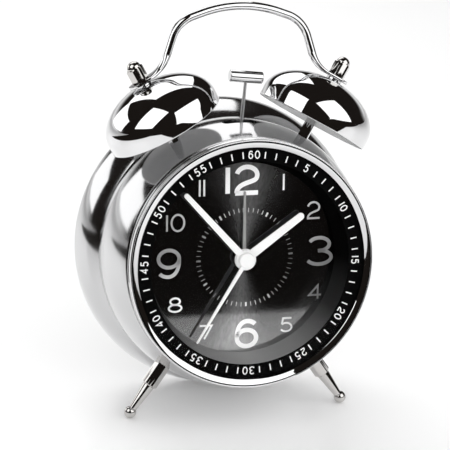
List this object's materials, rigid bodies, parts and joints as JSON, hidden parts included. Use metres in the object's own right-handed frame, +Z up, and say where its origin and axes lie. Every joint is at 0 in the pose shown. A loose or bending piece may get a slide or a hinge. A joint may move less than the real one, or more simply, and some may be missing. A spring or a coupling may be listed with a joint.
{
  "type": "twin-bell alarm clock",
  "caption": "Chromed twin-bell alarm clock with a deep black dial, rod handle and ball feet; hands, gear train, hammer, knobs and battery door move.",
  "frame": {"origin": "on the table under the middle of the clock's bounding box", "axes": "+X to the clock's three o'clock side, -Y to the front where the dial faces, +Z up"},
  "size_m": [0.1252, 0.077, 0.1714],
  "materials": {
    "chrome": "polished",
    "crystal": "clear",
    "ring_black": "matte",
    "dial_black": "sunburst",
    "hand_white": "satin",
    "hand_grey": "satin",
    "cover_black": "fine texture",
    "switch_grey": "satin",
    "cell": "satin",
    "copper": "wound",
    "board": "satin",
    "movement_white": "satin",
    "wheel_white": "moulded",
    "brass": "blackened",
    "steel": "satin"
  },
  "bodies": {
    "case": {"front_case": "chrome", "rear_case": "chrome", "front_bezel": "chrome", "crystal": "crystal", "chapter_ring": "ring_black", "dial_plate": "dial_black", "stator": "steel", "coil": "copper", "movement_pillars": "movement_white", "movement_screws": "steel", "dial_nut": "brass", "circuit_board": "board", "movement_front_plate": "movement_white", "movement_rear_plate": "movement_white", "hammer_bracket": "steel", "bracket_screws": "steel", "hammer_pin": "steel", "hammer_motor": "steel", "left_bell_post": "chrome", "left_bell": "chrome", "left_acorn_nut": "chrome", "right_bell_post": "chrome", "right_bell": "chrome", "right_acorn_nut": "chrome", "bell_post_nuts": "steel", "handle_washers": "chrome", "handle": "chrome", "left_leg_sleeve": "chrome", "left_leg": "chrome", "right_leg_sleeve": "chrome", "right_leg": "chrome", "leg_nuts": "steel", "back_cover": "cover_black", "cover_screws": "steel", "upper_battery": "cell", "lower_battery": "cell", "battery_contacts": "steel"},
    "second": {"second_wheel": "wheel_white", "second_hand": "hand_white"},
    "third": {"third_wheel": "wheel_white"},
    "minute": {"minute_wheel": "wheel_white", "minute_hand": "hand_white"},
    "motion": {"motion_wheel": "wheel_white"},
    "hour": {"hour_wheel": "wheel_white", "hour_hand": "hand_white"},
    "time_set": {"time_stem": "steel", "time_knob": "cover_black"},
    "intermediate": {"intermediate_wheel": "wheel_white"},
    "rotor": {"rotor": "steel"},
    "alarm_set": {"alarm_stem": "steel", "alarm_knob": "cover_black"},
    "alarm": {"alarm_wheel": "wheel_white", "alarm_hand": "hand_grey"},
    "hammer": {"hammer_lever": "movement_white", "hammer_rod": "chrome", "hammer_head": "chrome"},
    "motor_shaft": {"motor_shaft": "steel", "hammer_cam": "movement_white"},
    "battery_door": {"battery_door": "cover_black"},
    "alarm_switch": {"alarm_switch": "switch_grey"}
  },
  "joints": [
    {"name": "second_turn", "type": "hinge", "parent": "case", "child": "second", "pos_m": [0, -0.00934, 0.06681], "axis": [0, 0.9896, -0.1436], "continuous": true},
    {"name": "third_turn", "type": "hinge", "parent": "case", "child": "third", "pos_m": [0, -0.01178, 0.04999], "axis": [0, 0.9896, -0.1436], "continuous": true},
    {"name": "minute_turn", "type": "hinge", "parent": "case", "child": "minute", "pos_m": [0, -0.00934, 0.06681], "axis": [0, 0.9896, -0.1436], "continuous": true},
    {"name": "motion_turn", "type": "hinge", "parent": "case", "child": "motion", "pos_m": [-0.01, -0.00934, 0.06681], "axis": [0, 0.9896, -0.1436], "continuous": true},
    {"name": "hour_turn", "type": "hinge", "parent": "case", "child": "hour", "pos_m": [0, -0.00934, 0.06681], "axis": [0, 0.9896, -0.1436], "continuous": true},
    {"name": "time_set_turn", "type": "hinge", "parent": "case", "child": "time_set", "pos_m": [-0.02125, -0.00934, 0.06681], "axis": [0, 0.9896, -0.1436], "continuous": true},
    {"name": "intermediate_turn", "type": "hinge", "parent": "case", "child": "intermediate", "pos_m": [0.007, -0.0076, 0.07881], "axis": [0, 0.9896, -0.1436], "continuous": true},
    {"name": "rotor_turn", "type": "hinge", "parent": "case", "child": "rotor", "pos_m": [0.007, -0.00622, 0.08831], "axis": [0, 0.9896, -0.1436], "continuous": true},
    {"name": "alarm_set_turn", "type": "hinge", "parent": "case", "child": "alarm_set", "pos_m": [0.018, -0.00934, 0.06681], "axis": [0, 0.9896, -0.1436], "continuous": true},
    {"name": "alarm_turn", "type": "hinge", "parent": "case", "child": "alarm", "pos_m": [0, -0.00934, 0.06681], "axis": [0, 0.9896, -0.1436], "continuous": true},
    {"name": "hammer_swing", "type": "hinge", "parent": "case", "child": "hammer", "pos_m": [0, -0.00252, 0.11382], "axis": [0, 0.9896, -0.1436], "range_deg": [-15.7, 4.7]},
    {"name": "motor_turn", "type": "hinge", "parent": "case", "child": "motor_shaft", "pos_m": [0, -0.00342, 0.10759], "axis": [0, 0.9896, -0.1436], "continuous": true},
    {"name": "battery_door_lift", "type": "slide", "parent": "case", "child": "battery_door", "axis": [0, 0.9896, -0.1436], "range_m": [0, 0.02]},
    {"name": "alarm_switch_slide", "type": "slide", "parent": "case", "child": "alarm_switch", "axis": [1, 0, 0], "range_m": [0, 0.005]}
  ],
  "couplings": [
    {"joint": "third_turn", "follows": "second_turn", "ratio": -0.125},
    {"joint": "minute_turn", "follows": "second_turn", "ratio": 0.016667},
    {"joint": "motion_turn", "follows": "second_turn", "ratio": -0.0055556},
    {"joint": "hour_turn", "follows": "second_turn", "ratio": 0.0013889},
    {"joint": "time_set_turn", "follows": "second_turn", "ratio": 0.011111},
    {"joint": "intermediate_turn", "follows": "second_turn", "ratio": -6},
    {"joint": "rotor_turn", "follows": "second_turn", "ratio": 30},
    {"joint": "alarm_turn", "follows": "alarm_set_turn", "ratio": -1.25}
  ]
}
